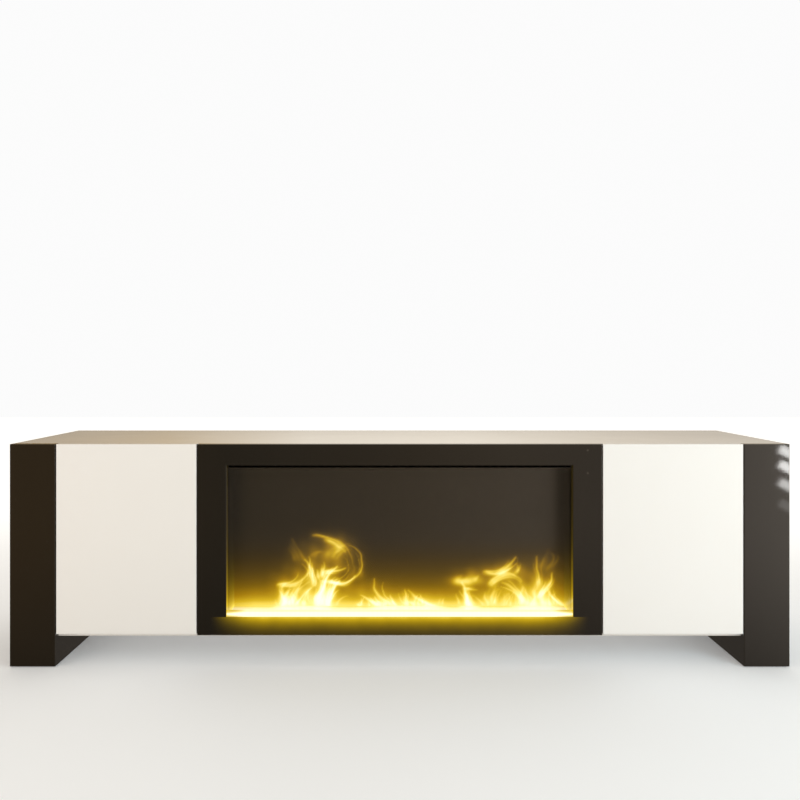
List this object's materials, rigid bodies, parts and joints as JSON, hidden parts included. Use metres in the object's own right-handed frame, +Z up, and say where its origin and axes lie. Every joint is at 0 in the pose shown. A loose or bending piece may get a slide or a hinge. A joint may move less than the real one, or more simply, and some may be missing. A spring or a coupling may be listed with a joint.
{
  "type": "electric fireplace",
  "caption": "Low media console with an electric fire in its centre bay, a push-open door each side and hollow box legs.",
  "frame": {"origin": "middle of the footprint, on the floor under the leg glides", "axes": "+X to the right of the front view along the cabinet's length, fronts face -Y, +Z up"},
  "size_m": [1.8, 0.4, 0.515],
  "materials": {
    "white_lacquer": "high gloss lacquer on board",
    "white_board": "melamine faced board",
    "black_lacquer": "high gloss lacquer on board",
    "back_board": "thin hardboard, white face",
    "black_sheet": "matt black powder coat",
    "black_gloss_sheet": "gloss black enamel",
    "zinc_sheet": "zinc plated sheet steel",
    "nickel_steel": "nickel plated steel",
    "screw_steel": "zinc plated steel",
    "cast_zinc": "cast zinc alloy",
    "fire_glass": "smoked toughened glass",
    "flame_screen": "frosted smoked acrylic",
    "light_diffuser": "frosted acrylic, lit",
    "circuit_board": "green solder mask",
    "light_board": "white solder mask with light chips",
    "heater_fins": "bare fins",
    "motor_steel": "bare lamination steel",
    "white_plastic": "moulded",
    "grey_plastic": "moulded",
    "black_plastic": "moulded",
    "soft_bumper": "clear soft dot",
    "lens": "smoked lens",
    "sintered_bush": "sintered bronze"
  },
  "bodies": {
    "cabinet": {"back_panels": "back_board", "blower_housing": "zinc_sheet", "blower_motor": "motor_steel", "bottom_panel": "white_board", "cable_grommets": "black_plastic", "cam_locks": "cast_zinc", "chamber_ceiling": "black_sheet", "control_board": "circuit_board", "door_bumpers": "soft_bumper", "ember_floor": "black_gloss_sheet", "firebox_bottom": "black_sheet", "firebox_ends": "black_sheet", "firebox_top": "black_sheet", "flame_mask": "black_sheet", "flame_screen": "flame_screen", "front_frame": "black_lacquer", "front_glass": "fire_glass", "glass_clips": "zinc_sheet", "heater_element": "heater_fins", "inner_walls": "black_gloss_sheet", "insert_brackets": "zinc_sheet", "latch_bodies": "white_plastic", "left_divider": "white_board", "left_hinge_arms": "nickel_steel", "left_leg_front": "black_lacquer", "left_leg_inner_side": "black_lacquer", "left_leg_outer_side": "black_lacquer", "leg_backs": "black_lacquer", "leg_bases": "black_lacquer", "leg_glides": "black_plastic", "light_bar": "light_diffuser", "light_boards": "light_board", "mounting_screws": "screw_steel", "outlet_grille": "black_sheet", "power_inlet": "black_plastic", "rear_cover": "black_sheet", "rear_rail": "white_board", "right_divider": "white_board", "right_hinge_arms": "nickel_steel", "right_leg_front": "black_lacquer", "right_leg_inner_side": "black_lacquer", "right_leg_outer_side": "black_lacquer", "rotor_motor": "motor_steel", "sensor_windows": "lens", "shaft_bushes": "sintered_bush", "shelf_pins": "nickel_steel", "shelves": "white_board", "thermal_cutout": "white_plastic", "top_panel": "white_lacquer"},
    "left_door": {"left_door": "white_lacquer", "left_hinge_cups": "nickel_steel"},
    "right_door": {"right_door": "white_lacquer", "right_hinge_cups": "nickel_steel"},
    "left_link": {"left_hinge_links": "nickel_steel"},
    "right_link": {"right_hinge_links": "nickel_steel"},
    "left_plunger": {"left_latch_plunger": "grey_plastic"},
    "right_plunger": {"right_latch_plunger": "grey_plastic"},
    "rotor": {"flame_rotor": "heater_fins"},
    "blower": {"blower_wheel": "heater_fins"},
    "rocker": {"rocker_switch": "black_plastic"}
  },
  "joints": [
    {"name": "left_door_swing", "type": "hinge", "parent": "cabinet", "child": "left_door", "pos_m": [-0.793, -0.2, 0.29575], "axis": [0, 0, -1], "range_deg": [0, 90]},
    {"name": "left_link_swing", "type": "hinge", "parent": "cabinet", "child": "left_link", "pos_m": [-0.793, -0.2, 0.29575], "axis": [0, 0, -1], "range_deg": [0, 76.1]},
    {"name": "left_plunger_slide", "type": "slide", "parent": "cabinet", "child": "left_plunger", "axis": [0, -1, 0], "range_m": [0, 0.02]},
    {"name": "right_door_swing", "type": "hinge", "parent": "cabinet", "child": "right_door", "pos_m": [0.793, -0.2, 0.29575], "axis": [0, 0, 1], "range_deg": [0, 90]},
    {"name": "right_link_swing", "type": "hinge", "parent": "cabinet", "child": "right_link", "pos_m": [0.793, -0.2, 0.29575], "axis": [0, 0, 1], "range_deg": [0, 76.1]},
    {"name": "right_plunger_slide", "type": "slide", "parent": "cabinet", "child": "right_plunger", "axis": [0, -1, 0], "range_m": [0, 0.02]},
    {"name": "flame_rotor_spin", "type": "hinge", "parent": "cabinet", "child": "rotor", "pos_m": [0, -0.072, 0.132], "axis": [1, 0, 0], "continuous": true},
    {"name": "blower_spin", "type": "hinge", "parent": "cabinet", "child": "blower", "pos_m": [0, -0.066, 0.461], "axis": [1, 0, 0], "continuous": true},
    {"name": "rocker_tilt", "type": "hinge", "parent": "cabinet", "child": "rocker", "pos_m": [0.405, -0.0295, 0.166], "axis": [1, 0, 0], "range_deg": [0, 18]}
  ],
  "couplings": [
    {"joint": "left_link_swing", "follows": "left_door_swing", "ratio": 0.845},
    {"joint": "left_plunger_slide", "follows": "left_door_swing", "m_per_rad": 0.0127},
    {"joint": "right_link_swing", "follows": "right_door_swing", "ratio": 0.845},
    {"joint": "right_plunger_slide", "follows": "right_door_swing", "m_per_rad": 0.0127}
  ]
}
